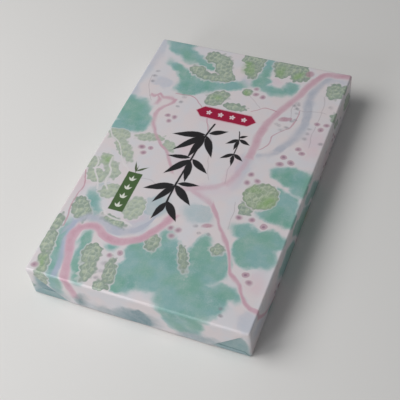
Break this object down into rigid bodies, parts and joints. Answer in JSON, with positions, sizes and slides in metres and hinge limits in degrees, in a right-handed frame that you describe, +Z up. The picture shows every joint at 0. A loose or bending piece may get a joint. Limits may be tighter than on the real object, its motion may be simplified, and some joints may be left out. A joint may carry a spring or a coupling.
{
  "type": "wrapped gift box of rice crackers",
  "caption": "Flat closed gift box wrapped in one sheet of softly painted paper, folded like a parcel, its top flap hanging over each short end.",
  "frame": {"origin": "centre of the flat base", "axes": "+X across the box, +Y along it, +Z up through its lid"},
  "size_m": [0.188, 0.285, 0.034],
  "materials": {
    "printed_paper": "coated wrapping paper, satin, printed with soft washes of teal, olive and rose on pale pink-grey"
  },
  "bodies": {
    "root": {"wrapped_box": "printed_paper"}
  },
  "joints": []
}
